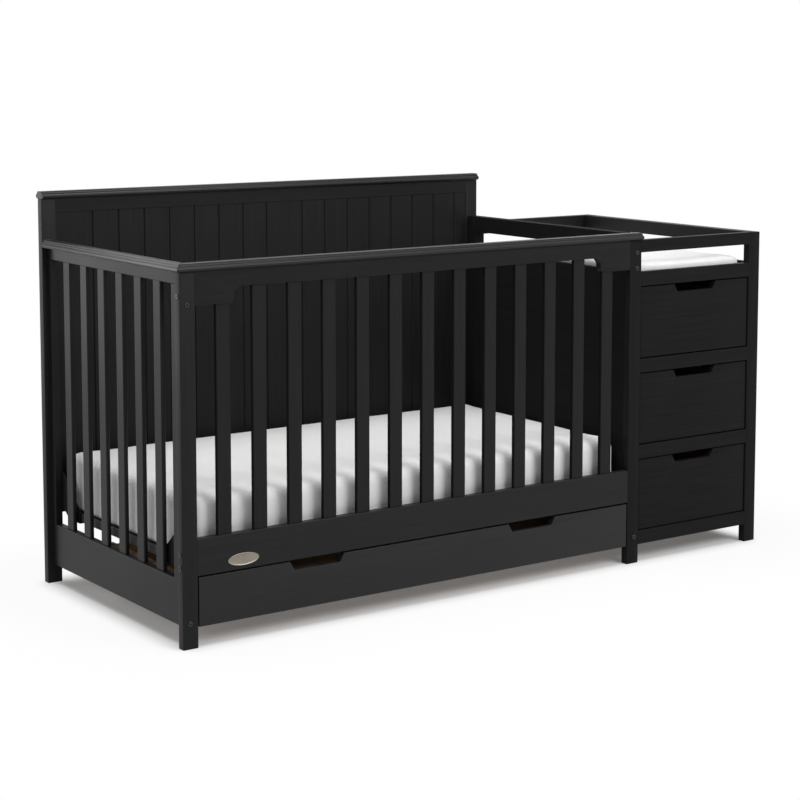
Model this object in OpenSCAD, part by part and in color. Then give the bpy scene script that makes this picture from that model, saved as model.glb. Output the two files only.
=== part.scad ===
// Slatted crib joined to a changing table with three drawers, and a wide drawer under the crib.
// Drawn as the real pieces: posts, rails, slats, panels, caps, drawer boards, runners and fittings.

/* [Crib frame] */
// Outer edge of the front left post to the left edge of the changer's front post
crib_l = 1363; // [1345:1:1380]
// Front face of the posts to the front face of the headboard
head_y = 722; // [716:1:730]
// Top of the front posts, below the caps
post_top = 883; // [860:1:900]
// Post width, seen from the front
post_w = 40; // [38:1:44]
// Post depth, front to back
post_d = 22; // [22:1:26]
// Rail and end frame thickness
rail_t = 20; // [18:1:22]
// Edge rounding on posts and rails
edge_r = 2; // [1:0.5:3]

/* [Front side] */
// Height of the front top rail
top_rail_h = 41; // [36:1:50]
// Underside of the front lower rail
lower_rail_z = 171; // [168:1:175]
// Height of the front lower rail
lower_rail_h = 88; // [70:1:100]
// How far the corner brackets hang below the top rail
bracket_drop = 38; // [34:1:44]
// Flat length of a corner bracket before its curve
bracket_flat = 89; // [60:1:110]
// Lower, outward curve of the bracket
bracket_r1 = 14; // [10:1:16]
// Upper, inward curve of the bracket
bracket_r2 = 20; // [16:1:22]
// Slats along the front
front_slats_n = 13; // [13:1:14]
// Gap between a post and the first front slat
front_gap = 56.4; // [50:0.1:60]
// Free space between a slat's top and the rail
slat_play = 0.3; // [0.2:0.1:0.6]

/* [Slats] */
// Width of a front slat
slat_w = 39; // [36:1:42]
// Slat thickness
slat_t = 11; // [9:1:14]

/* [Left end] */
// Outer face of the end frame, in from the post's left edge
end_inset = 10; // [8:1:12]
// Width of the upright behind the front post
front_stile_w = 38; // [34:1:42]
// Width of the upright at the headboard
stile_w = 20; // [16:1:24]
// Height of the end's top rail
end_top_h = 31; // [26:1:40]
// Underside of the end's lower rail
end_low_z = 50; // [45:1:60]
// Height of the end's lower rail
end_low_h = 110; // [90:1:115]
// Slats in the end
end_slats_n = 6; // [6:1:7]
// Width of an end slat
end_slat_w = 37; // [36:1:40]

/* [Caps] */
// Cap thickness
cap_t = 19; // [17:1:22]
// How far a cap's nose stands out past the posts
cap_over = 11; // [9:1:13]

/* [Headboard] */
// How far it reaches past the front left post's edge
head_out = 5; // [0:1:8]
// How far it reaches behind the changer
head_behind = 32; // [20:1:40]
// Top of the headboard posts
head_top = 1008; // [980:1:1040]
// Height of the top rail
head_rail_h = 36; // [30:1:50]
// Underside of the bottom rail
head_low_z = 185; // [180:1:190]
// Height of the bottom rail
head_low_h = 64; // [50:1:70]
// How far the grooved panel lies behind the rails
panel_back = 2; // [1:0.5:4]
// Panel thickness
panel_t = 12; // [9:1:14]
// Pitch of the panel's grooves
groove_pitch = 75.6; // [70:0.1:76]
// Grooves in each half of the panel
groove_n = 8; // [6:1:8]
// First groove of the left half, from the headboard's left edge
groove_a = 144; // [120:1:150]
// Last groove of the right half, from the headboard's right edge
groove_b = 82.3; // [75:0.1:100]
// Groove width at the surface
groove_w = 6; // [4:0.5:8]
// Groove depth
groove_d = 3; // [2:0.5:4]

/* [Mattress and support] */
// Free space at each end of the mattress
mat_end_gap = 11; // [8:1:14]
// Free space along each long side of the mattress
mat_side_gap = 7; // [5:1:10]
// Mattress thickness at the edge
mat_h = 140; // [100:1:150]
// Free space under the mattress and under the pad
soft_gap = 0.3; // [0.2:0.1:1]
// Extra height in the middle of the mattress top
mat_crown = 5; // [2:1:12]
// Corner radius in plan
mat_r = 48; // [30:1:60]
// Surface the mattress lies on
deck_z = 204; // [204:1:300]
// Steel angle height
angle_s = 23; // [20:1:26]
// Width of the steel angle's ledge
ledge_w = 34; // [24:1:40]
// Steel angle and corner plate thickness
steel_t = 2.5; // [2:0.5:3]
// Length of a corner plate along the crib's end
plate_l = 122; // [110:1:130]
// Height of a corner plate at its post
plate_h = 118; // [100:1:130]
// Height of a corner plate at its low end
plate_low = 32; // [28:1:40]
// How much shorter a corner plate is at its post, from below
plate_up = 16; // [10:1:20]
// Free space between the support frame's long sides and the front rail or the headboard
frame_in = 36; // [20:1:40]
// Distance of the outermost bed slats from the support frame's ends
deck_in = 30; // [24:1:40]
// Bed slats under the mattress
deck_n = 12; // [8:1:14]
// Bed slat width
deck_w = 62; // [50:1:70]
// Bed slat thickness
deck_t = 10; // [8:1:12]

/* [Changer] */
// Width of the changer over its posts
changer_w = 482; // [470:1:500]
// Thickness of the side rails and of the back posts
side_t = 30; // [26:1:34]
// Depth of the back posts
back_post_d = 40; // [36:1:44]
// Side panel thickness
side_panel_t = 18; // [15:1:20]
// Height of the rail over the front opening
guard_h = 34; // [30:1:40]
// Height of the rails over the back and right openings
side_guard_h = 38; // [34:1:44]
// Top of the rail on the crib side
side_top = 902; // [890:1:905]
// Height of the rail on the crib side
side_rail_h = 45; // [40:1:50]
// Top of the panel on the crib side
left_panel_top = 800; // [790:1:810]
// Top of the rail under the front opening
mid_top = 797; // [790:1:800]
// Height of the rail under the front opening
mid_h = 39; // [36:1:40]
// Height of the rails between and under the drawers
divider_h = 38; // [34:1:40]
// Underside of the bottom rail, and of the crib drawer
base_z = 50; // [45:1:60]
// Board under the changing pad
tray_t = 12; // [10:1:15]
// Back panel thickness
back_t = 4; // [3:1:6]

/* [Changing pad] */
// Free space in front of the pad
pad_front_gap = 6; // [4:1:12]
// Free space behind the pad
pad_back_gap = 24; // [10:1:40]
// Free space along each long side of the pad
pad_side_gap = 6; // [4:1:14]
// Pad thickness at the edge
pad_h = 45; // [35:1:50]
// How far its long sides rise above its middle
pad_rise = 4; // [2:1:8]
// Corner radius in plan
pad_r = 30; // [15:1:40]

/* [Drawers] */
// Gap around a drawer front
reveal = 3; // [2:0.5:4]
// How far a changer drawer's front lies back from the posts
front_in = 3; // [0:0.5:4]
// Gap between a changer drawer's sides and the front posts' inner edges
box_gap = 8; // [6:1:12]
// Gap between the crib drawer's right side and the changer
low_gap = 18; // [14:1:24]
// Drawer front thickness
front_t = 18; // [15:1:20]
// Top of the crib drawer's front
low_front_top = 167; // [160:1:169]
// Height of the crib drawer's sides
low_side_h = 92; // [80:1:95]
// Front to back length of the crib drawer's sides
low_side_l = 460; // [420:10:500]
// Height of the changer drawers' sides
box_h = 150; // [120:1:155]
// Front to back length of the changer drawers' sides
box_l = 560; // [450:10:600]
// Drawer side and back thickness
board_t = 14; // [12:1:15]
// Drawer bottom thickness
bottom_t = 5; // [3:1:6]
// Drawer bottom's height above the underside of the sides
bottom_up = 10; // [8:1:14]
// Width of a finger notch at the top
notch_w = 154; // [120:1:160]
// Width of a finger notch at the bottom
notch_w2 = 130; // [100:1:140]
// Depth of a finger notch
notch_d = 21; // [15:1:24]
// Radius of its lower corners
notch_r = 6; // [3:0.5:9]
// Distance of the crib drawer's notches from its middle
notch_x = 332; // [300:1:380]

/* [Runners] */
// Runner height
runner_h = 16; // [14:1:18]
// How far a runner reaches into the drawer side
runner_in = 7; // [5:1:8]
// Free space around a runner in its groove
runner_play = 0.5; // [0.3:0.1:0.8]
// Length of a changer drawer's runner
runner_l = 540; // [400:10:560]
// Length of the crib drawer's runner
low_runner_l = 420; // [360:10:440]

/* [Fittings] */
// Bolt head diameter
bolt_d = 13; // [11:1:16]
// Bolt head height
bolt_h = 1.6; // [1.2:0.1:2.5]
// Hex socket across the flats
socket_w = 4; // [3:0.5:5]

/* [Hidden] */
$fn = 48;

// Changer, in the same directions as the crib
ch_x1 = crib_l + changer_w;
in_x0 = crib_l + post_w;
in_x1 = ch_x1 - post_w;
back_y = head_y + post_d;
back_post_y = head_y - back_post_d;
cap_w = post_d + 2 * cap_over;
head_w = head_out + crib_l + head_behind;

// Origin: middle of the outline, on the floor
org = [-(ch_x1 - cap_over) / 2, -(back_y) / 2, 0];

// Cap section, half of it, from the bottom up: a half-round nose, a quarter-round bead over it
nose_r = 5.5;
nose_n = 8;
bead_r = 4;
bead_n = 4;
nose_x = cap_over - nose_r;
bead_x = nose_x - 0.5;
bead_z = cap_t - 2.2 - bead_r;
cap_nose = [for (i = [0 : nose_n]) let (a = -90 + 180 * i / nose_n)
    [nose_x + nose_r * cos(a), 1 + nose_r + nose_r * sin(a)]];
cap_bead = [for (i = [0 : bead_n]) let (a = 90 * i / bead_n)
    [bead_x - bead_r + bead_r * cos(a), bead_z + bead_r * sin(a)]];
cap_half = concat([[0, 0], [bead_x - 1, 0], [bead_x, 1]], cap_nose, [[bead_x, 1 + 2 * nose_r]],
    cap_bead, [[bead_x - bead_r, cap_t - 0.6], [bead_x - bead_r - 0.6, cap_t]]);

// Slat rows
front_x0 = post_w + front_gap + slat_w / 2;
front_pitch = (crib_l - front_gap - slat_w / 2 - front_x0) / (front_slats_n - 1);
end_y_in = post_d + front_stile_w;
end_gap = (head_y - stile_w - end_y_in - end_slats_n * end_slat_w) / (end_slats_n + 1);
end_pitch = end_gap + end_slat_w;
low_top = lower_rail_z + lower_rail_h;
rail_low = post_top - top_rail_h;

// Mattress
mat_x = (end_inset + rail_t + crib_l) / 2;
mat_y = (rail_t + head_y) / 2;
end_in = end_inset + rail_t;
mat_l = crib_l - end_in - 2 * mat_end_gap;
mat_w = head_y - rail_t - 2 * mat_side_gap;

// Changing pad
pad_w = changer_w - 2 * side_t - 2 * pad_side_gap;
pad_l = head_y - rail_t - pad_front_gap - pad_back_gap;

// Drawer openings
opening_h = (mid_top - mid_h - base_z - 3 * divider_h) / 3;
open_z = [for (i = [0 : 2]) base_z + divider_h + i * (opening_h + divider_h)];
box_x0 = in_x0 + box_gap;
box_x1 = in_x1 - box_gap;
low_x0 = post_w + box_gap;
low_x1 = crib_l - low_gap;

// ---------- shared shapes ----------

// Rectangle with round corners, from arcs and squares
module round_rect(a, b, r) {
    translate([r, 0]) square([a - 2 * r, b]);
    translate([0, r]) square([a, b - 2 * r]);
    for (x = [r, a - r], y = [r, b - r]) translate([x, y]) circle(r);
}

// Bars with eased long edges, along each axis
module bar_x(p, s, r = edge_r) {
    translate(p) rotate([90, 0, 90]) linear_extrude(s[0]) round_rect(s[1], s[2], r);
}
module bar_y(p, s, r = edge_r) {
    translate([p[0], p[1] + s[1], p[2]]) rotate([90, 0, 0]) linear_extrude(s[1])
        round_rect(s[0], s[2], r);
}
module bar_z(p, s, r = edge_r) {
    translate(p) linear_extrude(s[2]) round_rect(s[0], s[1], r);
}

// Cap section, lying from 0 to the post's depth across
module cap_section() {
    polygon(concat([for (p = cap_half) [-p[0], p[1]]],
        [for (i = [len(cap_half) - 1 : -1 : 0]) [post_d + cap_half[i][0], cap_half[i][1]]]));
}
module cap_x(l) { rotate([90, 0, 90]) linear_extrude(l) cap_section(); }
module cap_y(l) { translate([0, l, 0]) rotate([90, 0, 0]) linear_extrude(l) cap_section(); }

// Bolt head with a hex socket, standing on the plane z = 0
module bolt_head() {
    difference() {
        union() {
            cylinder(h = bolt_h * 0.6, d = bolt_d);
            translate([0, 0, bolt_h * 0.6]) cylinder(h = bolt_h * 0.4, d1 = bolt_d, d2 = bolt_d - 2);
        }
        translate([0, 0, bolt_h * 0.35]) cylinder(h = bolt_h, d = socket_w / cos(30), $fn = 6);
    }
}

// Finger notch seen from the front, its top edge on y = 0: sloping ends, round lower corners
module notch() {
    v = notch_w2 / 2;
    a = atan2(notch_d, (notch_w - notch_w2) / 2);
    t = notch_r * tan(a / 2);
    for (m = [0, 1]) mirror([m, 0]) {
        polygon([[0, 1], [0, -notch_d], [v - t, -notch_d], [v + t * cos(a), t * sin(a) - notch_d],
            [notch_w / 2, 0], [notch_w / 2, 1]]);
        translate([v - t, notch_r - notch_d]) circle(notch_r);
    }
}

// Drawer front, its lower left corner at the origin
module drawer_front(w, h, notches) {
    translate([0, front_t, 0]) rotate([90, 0, 0]) linear_extrude(front_t) difference() {
        round_rect(w, h, 1);
        for (x = notches) translate([x, h]) notch();
    }
}

// Drawer sides: two boards with a groove outside for the runner and one inside for the bottom
module drawer_sides(w, l, h, groove_z) {
    for (m = [0, 1]) translate([m * w, 0, 0]) mirror([m, 0, 0]) difference() {
        bar_y([0, front_t, 0], [board_t, l, h], 1);
        translate([-1, front_t - 1, groove_z - runner_play])
            cube([runner_in + runner_play + 1, l + 2, runner_h + 2 * runner_play]);
        translate([board_t - 5, front_t - 1, bottom_up]) cube([6, l + 2, bottom_t]);
    }
}
module drawer_back(w, l, h) {
    translate([board_t, front_t + l - board_t, bottom_up + bottom_t])
        cube([w - 2 * board_t, board_t, h - bottom_up - bottom_t - 6]);
}
module drawer_bottom(w, l) {
    translate([board_t - 5, front_t, bottom_up]) cube([w - 2 * board_t + 10, l, bottom_t]);
}

// Cushion: rings round a rounded rectangle, with bulging sides and a shaped top
function ring_pt(a, b, r, i, n) = let (q = floor(i / n), t = 90 * (i % n) / (n - 1),
    cx = (q == 0 || q == 3) ? a / 2 - r : r - a / 2,
    cy = (q < 2) ? b / 2 - r : r - b / 2) [cx + r * cos(90 * q + t), cy + r * sin(90 * q + t)];
module cushion(a, b, h, r, crown, bulge, edge, dish) {
    n = 7;
    m = 4 * n;
    half = min(a, b) / 2;
    function top_z(s) = h + crown * (1 - pow(1 - s, 3)) - dish * (1 - cos(180 * min(1, s * 1.4))) / 2;
    // each ring: how far in from the outline, and its height
    side = [for (j = [0 : 6]) let (t = j / 6)
        [bulge + edge * pow(abs(2 * t - 1), 3) - bulge * sin(180 * t), h * t]];
    top = [for (s = [0.06, 0.15, 0.3, 0.5, 0.75])
        [edge + bulge + s * (half - edge - bulge) * 0.98, top_z(s)]];
    rings = concat(side, top);
    k = len(rings);
    pts = [for (g = rings, i = [0 : m - 1])
        let (p = ring_pt(a - 2 * g[0], b - 2 * g[0], max(r - g[0], 2), i, n)) [p[0], p[1], g[1]]];
    faces = concat([[for (i = [0 : m - 1]) i]],
        [for (j = [0 : k - 2], i = [0 : m - 1]) let (o = j * m, e = (i + 1) % m)
            [o + i, o + m + i, o + m + e, o + e]],
        [[for (i = [m - 1 : -1 : 0]) (k - 1) * m + i]]);
    polyhedron(pts, faces, convexity = 4);
}

// ---------- crib front ----------

module front_left_post() {
    color("#232426") translate(org) bar_z([0, 0, 0], [post_w, post_d, post_top]);
}

module bracket_2d() {
    h = bracket_drop;
    f = bracket_flat;
    square([f, h + 1]);
    translate([f - 1, bracket_r1]) square([bracket_r1 + 1, h - bracket_r1 + 1]);
    translate([f, bracket_r1]) circle(bracket_r1);
    translate([f + bracket_r1, h - bracket_r2]) difference() {
        square([bracket_r2, bracket_r2 + 1]);
        translate([bracket_r2, 0]) circle(bracket_r2);
    }
}

// The top rail cut from one board with its two brackets, from the back face forward
module rail_board(t) {
    translate([post_w, t, rail_low]) rotate([90, 0, 0]) linear_extrude(t) {
        square([crib_l - post_w, top_rail_h]);
        translate([0, -bracket_drop]) bracket_2d();
        translate([crib_l - post_w, -bracket_drop]) mirror([1, 0]) bracket_2d();
    }
}

module front_top_rail() {
    color("#232426") translate(org) rail_board(rail_t);
}

module front_cap() {
    color("#2a2b2d") translate(org) translate([0, 0, post_top]) difference() {
        translate([-cap_over, 0, 0]) cap_x(crib_l + post_w + cap_over);
        // mitre against the end cap
        translate([-cap_over, -cap_over, -1]) linear_extrude(cap_t + 2)
            polygon([[-1, -1], [-1, cap_w + 1], [cap_w + 1, cap_w + 1]]);
    }
}

module front_lower_rail() {
    color("#232426") translate(org)
        bar_x([post_w, 0, lower_rail_z], [crib_l - post_w, rail_t, lower_rail_h]);
}

module front_slats() {
    color("#232426") translate(org) difference() {
        for (i = [0 : front_slats_n - 1])
            bar_z([front_x0 + i * front_pitch - slat_w / 2, (rail_t - slat_t) / 2, low_top],
                [slat_w, slat_t, rail_low - low_top], 3);
        // the outer slats are cut to the brackets
        translate([0, 0, -slat_play]) rail_board(rail_t);
    }
}

// ---------- left end ----------

module left_end_top_rail() {
    color("#2b2c2f") translate(org)
        bar_y([end_inset, post_d, post_top - end_top_h], [rail_t, head_y - post_d, end_top_h]);
}
module left_end_lower_rail() {
    color("#2b2c2f") translate(org)
        bar_y([end_inset, post_d, end_low_z], [rail_t, head_y - post_d, end_low_h]);
}
module left_end_stiles() {
    z = end_low_z + end_low_h;
    h = post_top - end_top_h - z;
    color("#2b2c2f") translate(org) {
        bar_z([end_inset, post_d, z], [rail_t, front_stile_w, h]);
        bar_z([end_inset, head_y - stile_w, z], [rail_t, stile_w, h]);
    }
}
module left_end_slats() {
    z = end_low_z + end_low_h;
    color("#2b2c2f") translate(org) for (i = [0 : end_slats_n - 1])
        bar_z([end_inset + (rail_t - slat_t) / 2, end_y_in + end_gap + i * end_pitch, z],
            [slat_t, end_slat_w, post_top - end_top_h - z], 3);
}
module left_end_cap() {
    color("#303134") translate(org) translate([0, 0, post_top]) difference() {
        translate([0, -cap_over, 0]) cap_y(head_y + cap_over);
        translate([-cap_over, -cap_over, -1]) linear_extrude(cap_t + 2)
            polygon([[-1, -1], [cap_w + 1, -1], [cap_w + 1, cap_w + 1]]);
    }
}

// ---------- headboard ----------

module headboard_left_post() {
    color("#202123") translate(org) bar_z([-head_out, head_y, 0], [post_w, post_d, head_top]);
}
module headboard_right_post() {
    color("#202123") translate(org)
        bar_z([head_w - head_out - post_w, head_y, 0], [post_w, post_d, head_top]);
}
module headboard_rail(z, h) {
    bar_x([post_w - head_out, head_y, z], [head_w - 2 * post_w, rail_t, h], 1);
}
module headboard_top_rail() {
    color("#202123") translate(org) headboard_rail(head_top - head_rail_h, head_rail_h);
}
module headboard_bottom_rail() {
    color("#202123") translate(org) headboard_rail(head_low_z, head_low_h);
}
module headboard_panel() {
    z0 = head_low_z + head_low_h;
    color("#1f2022") translate(org) difference() {
        translate([post_w - head_out, head_y + panel_back, z0])
            cube([head_w - 2 * post_w, panel_t, head_top - head_rail_h - z0]);
        for (g = [groove_a, head_w - groove_b - (groove_n - 1) * groove_pitch], i = [0 : groove_n - 1])
            translate([g - head_out + i * groove_pitch, head_y + panel_back, z0 - 1])
                linear_extrude(head_top) polygon([[-groove_w / 2, -1], [-groove_w / 2, 0],
                    [-groove_w / 5, groove_d], [groove_w / 5, groove_d], [groove_w / 2, 0],
                    [groove_w / 2, -1]]);
    }
}
module headboard_cap() {
    color("#2a2b2d") translate(org) translate([-head_out, head_y, head_top]) cap_x(head_w);
}

// ---------- mattress and what carries it ----------

sup_x0 = end_in + 7;
sup_x1 = crib_l - 7;
sup_y0 = rail_t + frame_in;
sup_y1 = head_y - frame_in;

module support_frame() {
    color("#1b1b1c") translate(org) translate([0, 0, deck_z - angle_s]) difference() {
        translate([sup_x0, sup_y0, 0]) cube([sup_x1 - sup_x0, sup_y1 - sup_y0, angle_s]);
        translate([sup_x0 + steel_t, sup_y0 + steel_t, -1])
            cube([sup_x1 - sup_x0 - 2 * steel_t, sup_y1 - sup_y0 - 2 * steel_t,
                angle_s - deck_t - steel_t + 1]);
        translate([sup_x0 + steel_t, sup_y0 + steel_t, angle_s - deck_t])
            cube([sup_x1 - sup_x0 - 2 * steel_t, sup_y1 - sup_y0 - 2 * steel_t, deck_t + 1]);
        translate([sup_x0 + ledge_w, sup_y0 + ledge_w, -1])
            cube([sup_x1 - sup_x0 - 2 * ledge_w, sup_y1 - sup_y0 - 2 * ledge_w, angle_s + 2]);
    }
}

module support_slats() {
    x0 = sup_x0 + deck_in;
    x1 = sup_x1 - deck_in - deck_w;
    color("#b58a5c") translate(org) for (i = [0 : deck_n - 1])
        bar_y([x0 + (x1 - x0) * i / (deck_n - 1), sup_y0 + steel_t + 1, deck_z - deck_t],
            [deck_w, sup_y1 - sup_y0 - 2 * steel_t - 2, deck_t], 2);
}

// Corner plate on the plane x = 0: it runs along y from its post, its top edge slopes down,
// its lower edge steps up beside the frame, and its far end is turned in under the frame
foot = 24;
plate_bolts = [plate_h - 80, plate_h - 14];
module corner_plate() {
    difference() {
        union() {
            rotate([90, 0, 90]) linear_extrude(steel_t)
                polygon([[0, plate_up], [frame_in, plate_up], [frame_in + foot, 0], [plate_l, 0],
                    [plate_l, plate_low], [foot, plate_h], [0, plate_h]]);
            translate([0, plate_l - foot, 0]) cube([foot, foot, steel_t]);
        }
        for (z = plate_bolts) translate([-1, 10, z]) rotate([0, 90, 0]) cylinder(h = steel_t + 2, d = 6.5);
    }
    for (z = plate_bolts) translate([steel_t, 10, z]) rotate([0, 90, 0]) bolt_head();
}
module support_brackets() {
    color("#1b1b1c") translate(org) translate([0, 0, deck_z - angle_s - steel_t])
        for (m = [0, 1], k = [0, 1]) translate([m ? crib_l : end_in, k ? head_y : post_d, 0])
            mirror([m, 0, 0]) mirror([0, k, 0]) corner_plate();
}

module mattress() {
    color("#f2f2f0") translate(org) translate([mat_x, mat_y, deck_z + soft_gap])
        cushion(mat_l, mat_w, mat_h, mat_r, mat_crown, 8, 5, 0);
}

// ---------- changer ----------

module changer_front_left_post() {
    color("#232426") translate(org) bar_z([crib_l, 0, 0], [post_w, post_d, post_top]);
}
module changer_front_right_post() {
    color("#232426") translate(org) bar_z([in_x1, 0, 0], [post_w, post_d, post_top]);
}
module changer_back_left_post() {
    color("#232426") translate(org)
        bar_z([crib_l, back_post_y, 0], [side_t, back_post_d, side_top]);
}
module changer_back_right_post() {
    color("#232426") translate(org)
        bar_z([ch_x1 - side_t, back_post_y, 0], [side_t, back_post_d, post_top]);
}
module front_rail(z, h) {
    bar_x([in_x0, 0, z], [in_x1 - in_x0, rail_t, h]);
}
module changer_top_rail() {
    color("#232426") translate(org) front_rail(post_top - guard_h, guard_h);
}
module changer_mid_rail() {
    color("#232426") translate(org) front_rail(mid_top - mid_h, mid_h);
}
module changer_upper_divider() {
    color("#232426") translate(org) front_rail(open_z[2] - divider_h, divider_h);
}
module changer_lower_divider() {
    color("#232426") translate(org) front_rail(open_z[1] - divider_h, divider_h);
}
module changer_bottom_rail() {
    color("#232426") translate(org) front_rail(base_z, divider_h);
}
module changer_left_rail() {
    y0 = post_d + cap_over;
    color("#202123") translate(org) {
        bar_y([crib_l, y0, side_top - side_rail_h], [side_t, back_post_y - y0, side_rail_h]);
        translate([crib_l, post_d, side_top - side_rail_h])
            cube([side_t, cap_over + 3, post_top - side_top + side_rail_h]);
    }
}
module changer_left_panel() {
    color("#1c1d1f") translate(org)
        bar_y([crib_l, post_d, base_z], [side_panel_t, back_post_y - post_d, left_panel_top - base_z]);
}
module changer_right_rail() {
    color("#202123") translate(org) bar_y([ch_x1 - side_t, post_d, post_top - side_guard_h],
        [side_t, back_post_y - post_d, side_guard_h]);
}
module changer_right_panel() {
    color("#1c1d1f") translate(org) bar_y([ch_x1 - side_panel_t, post_d, base_z],
        [side_panel_t, back_post_y - post_d, mid_top - base_z]);
}
module back_rail(z, h) {
    bar_x([head_w - head_out, head_y, z], [ch_x1 - head_w + head_out, post_d, h]);
}
module changer_back_rail() {
    color("#202123") translate(org) back_rail(post_top - side_guard_h, side_guard_h);
}
module changer_back_mid_rail() {
    color("#202123") translate(org) back_rail(mid_top - mid_h, mid_h);
}
module changer_back_bottom_rail() {
    color("#202123") translate(org) back_rail(base_z, divider_h);
}
module changer_back_panel() {
    z0 = base_z + divider_h;
    color("#1a1a1b") translate(org) translate([head_w - head_out, head_y, z0])
        cube([ch_x1 - head_w + head_out, back_t, mid_top - mid_h - z0]);
}
module changer_tray() {
    z = mid_top - mid_h;
    color("#232426") translate(org) difference() {
        translate([crib_l + side_panel_t, rail_t, z])
            cube([changer_w - 2 * side_panel_t, head_y - rail_t, tray_t]);
        // round the front and back posts
        for (x = [crib_l, in_x1]) translate([x - 1, 0, z - 1]) cube([post_w + 2, post_d, tray_t + 2]);
        for (x = [crib_l, ch_x1 - side_t])
            translate([x, back_post_y, z - 1]) cube([side_t, back_post_d + 1, tray_t + 2]);
    }
}
module changing_pad() {
    color("#f4f4f3") translate(org)
        translate([crib_l + changer_w / 2, rail_t + pad_front_gap + pad_l / 2,
            mid_top - mid_h + tray_t + soft_gap])
            cushion(pad_w, pad_l, pad_h, pad_r, 2, 3, 4, pad_rise);
}

// ---------- runners ----------

groove_up = 62;
low_groove_up = 34;
box_z = [for (z = open_z) z + 8];
low_box_z = base_z + 10;

module changer_runners() {
    w0 = box_x0 + runner_in - crib_l - side_panel_t;
    color("#a9906c") translate(org) for (z = box_z) {
        bar_y([crib_l + side_panel_t, post_d + 4, z + groove_up], [w0, runner_l, runner_h], 1);
        bar_y([box_x1 - runner_in, post_d + 4, z + groove_up], [w0, runner_l, runner_h], 1);
    }
}
module crib_drawer_runners() {
    color("#a9906c") translate(org) {
        bar_y([end_in, post_d + 4, low_box_z + low_groove_up],
            [low_x0 + runner_in - end_in, low_runner_l, runner_h], 1);
        bar_y([low_x1 - runner_in, post_d + 4, low_box_z + low_groove_up],
            [crib_l - low_x1 + runner_in, low_runner_l, runner_h], 1);
    }
}

// ---------- bolts that show ----------

module front_bolts() {
    places = [[post_w / 2 - 1, post_top - 76], [post_w / 2 - 1, 61],
        [crib_l + 25, post_top - 34], [crib_l + 25, post_top - 76], [crib_l + 25, 73]];
    color("#3a3b3e") translate(org) for (p = places)
        translate([p[0], 0, p[1]]) rotate([90, 0, 0]) bolt_head();
}
module side_bolts() {
    color("#3a3b3e") translate(org) for (z = [post_top - 56, low_top - 34, low_top - 66])
        translate([0, post_d / 2, z]) rotate([0, -90, 0]) bolt_head();
}

// ---------- drawers ----------

front_w = in_x1 - in_x0 - 2 * reveal;
box_w = box_x1 - box_x0;
low_w = low_x1 - low_x0;

module front_at(i) {
    translate([in_x0 + reveal, front_in, open_z[i] + reveal])
        drawer_front(front_w, opening_h - 2 * reveal, [front_w / 2]);
}
module sides_at(i) {
    translate([box_x0, front_in, box_z[i]]) drawer_sides(box_w, box_l, box_h, groove_up);
}
module back_at(i) {
    translate([box_x0, front_in, box_z[i]]) drawer_back(box_w, box_l, box_h);
}
module bottom_at(i) {
    translate([box_x0, front_in, box_z[i]]) drawer_bottom(box_w, box_l);
}

module top_drawer_front() { color("#27282b") translate(org) front_at(2); }
module top_drawer_sides() { color("#c9ab83") translate(org) sides_at(2); }
module top_drawer_back() { color("#c9ab83") translate(org) back_at(2); }
module top_drawer_bottom() { color("#bfa079") translate(org) bottom_at(2); }
module middle_drawer_front() { color("#27282b") translate(org) front_at(1); }
module middle_drawer_sides() { color("#c9ab83") translate(org) sides_at(1); }
module middle_drawer_back() { color("#c9ab83") translate(org) back_at(1); }
module middle_drawer_bottom() { color("#bfa079") translate(org) bottom_at(1); }
module bottom_drawer_front() { color("#27282b") translate(org) front_at(0); }
module bottom_drawer_sides() { color("#c9ab83") translate(org) sides_at(0); }
module bottom_drawer_back() { color("#c9ab83") translate(org) back_at(0); }
module bottom_drawer_bottom() { color("#bfa079") translate(org) bottom_at(0); }

module crib_drawer_front() {
    w = crib_l - post_w - 2 * reveal;
    color("#27282b") translate(org) translate([post_w + reveal, 0, base_z])
        drawer_front(w, low_front_top - base_z, [w / 2 - notch_x, w / 2 + notch_x]);
}
module crib_drawer_sides() {
    color("#c9ab83") translate(org) translate([low_x0, 0, low_box_z])
        drawer_sides(low_w, low_side_l, low_side_h, low_groove_up);
}
module crib_drawer_back() {
    color("#c9ab83") translate(org) translate([low_x0, 0, low_box_z])
        drawer_back(low_w, low_side_l, low_side_h);
}
module crib_drawer_bottom() {
    color("#bfa079") translate(org) translate([low_x0, 0, low_box_z]) drawer_bottom(low_w, low_side_l);
}

// ---------- output ----------

front_left_post();
front_top_rail();
front_cap();
front_lower_rail();
front_slats();
left_end_top_rail();
left_end_lower_rail();
left_end_stiles();
left_end_slats();
left_end_cap();
headboard_left_post();
headboard_right_post();
headboard_top_rail();
headboard_bottom_rail();
headboard_panel();
headboard_cap();
support_frame();
support_slats();
support_brackets();
mattress();
changer_front_left_post();
changer_front_right_post();
changer_back_left_post();
changer_back_right_post();
changer_top_rail();
changer_mid_rail();
changer_upper_divider();
changer_lower_divider();
changer_bottom_rail();
changer_left_rail();
changer_left_panel();
changer_right_rail();
changer_right_panel();
changer_back_rail();
changer_back_mid_rail();
changer_back_bottom_rail();
changer_back_panel();
changer_tray();
changing_pad();
changer_runners();
crib_drawer_runners();
front_bolts();
side_bolts();
top_drawer_front();
top_drawer_sides();
top_drawer_back();
top_drawer_bottom();
middle_drawer_front();
middle_drawer_sides();
middle_drawer_back();
middle_drawer_bottom();
bottom_drawer_front();
bottom_drawer_sides();
bottom_drawer_back();
bottom_drawer_bottom();
crib_drawer_front();
crib_drawer_sides();
crib_drawer_back();
crib_drawer_bottom();
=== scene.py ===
"""The looks of a black slatted crib with an attached changer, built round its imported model."""
import math

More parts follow.
